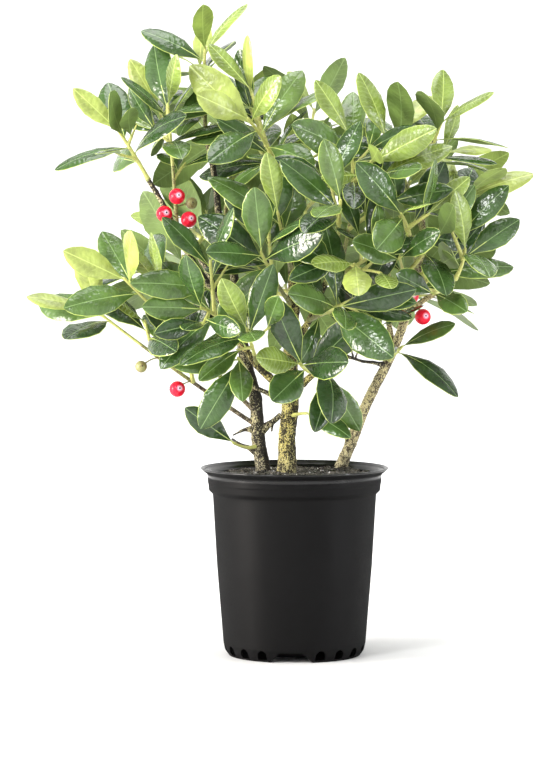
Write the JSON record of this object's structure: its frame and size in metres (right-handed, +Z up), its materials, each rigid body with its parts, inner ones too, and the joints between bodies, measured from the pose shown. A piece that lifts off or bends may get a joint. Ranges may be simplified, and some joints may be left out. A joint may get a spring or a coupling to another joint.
{
  "type": "potted dwarf burford holly",
  "caption": "Young evergreen holly shrub with forked stems, glossy leaves in clusters and red berries, growing in a round nursery pot with a rolled rim.",
  "frame": {"origin": "centre of the pot's flat underside, on the ground", "axes": "+Z up; -Y towards the plant's front; +X to the right as the front is looked at"},
  "size_m": [0.4352, 0.3464, 0.5685],
  "materials": {
    "pot_plastic": "satin black, blow moulded",
    "potting_soil": "dark loose bark and peat mix",
    "bark": "speckled olive and tan bark",
    "foliage": "glossy dark green leaves with pale midribs"
  },
  "bodies": {
    "root": {"pot": "pot_plastic", "soil": "potting_soil", "stem_left": "bark", "stem_middle": "bark", "stem_right": "bark", "left_leader": "bark", "left_bough": "bark", "back_left_bough": "bark", "middle_leader": "bark", "fork_left": "bark", "fork_right": "bark", "middle_right_bough": "bark", "back_middle_bough": "bark", "right_leader": "bark", "right_bough": "bark", "back_right_bough": "bark", "spray_top": "foliage", "spray_crest_left": "foliage", "spray_shoulder_left": "foliage", "spray_arch_left": "foliage", "spray_sweep_left": "foliage", "spray_base_left": "foliage", "spray_elbow_left": "foliage", "spray_inner_left": "foliage", "spray_front_left": "foliage", "spray_low_left": "foliage", "spray_front_low": "foliage", "spray_hanging": "foliage", "spray_drop": "foliage", "spray_front_middle": "foliage", "spray_low_middle": "foliage", "spray_front_bright": "foliage", "spray_crown_left": "foliage", "spray_crown_middle": "foliage", "spray_heart_left": "foliage", "spray_heart_low": "foliage", "spray_heart_right": "foliage", "spray_crown_right": "foliage", "spray_inner_right": "foliage", "spray_shoulder_right": "foliage", "spray_centre_right": "foliage", "spray_elbow_right": "foliage", "spray_low_right": "foliage", "spray_front_right": "foliage", "spray_stem_right": "foliage", "spray_back_low_right": "foliage", "spray_back_right": "foliage", "spray_back_crown": "foliage", "spray_back_middle": "foliage", "spray_back_low": "foliage", "spray_back_left": "foliage", "spray_back_low_left": "foliage", "spray_back_crest_left": "foliage"}
  },
  "joints": []
}
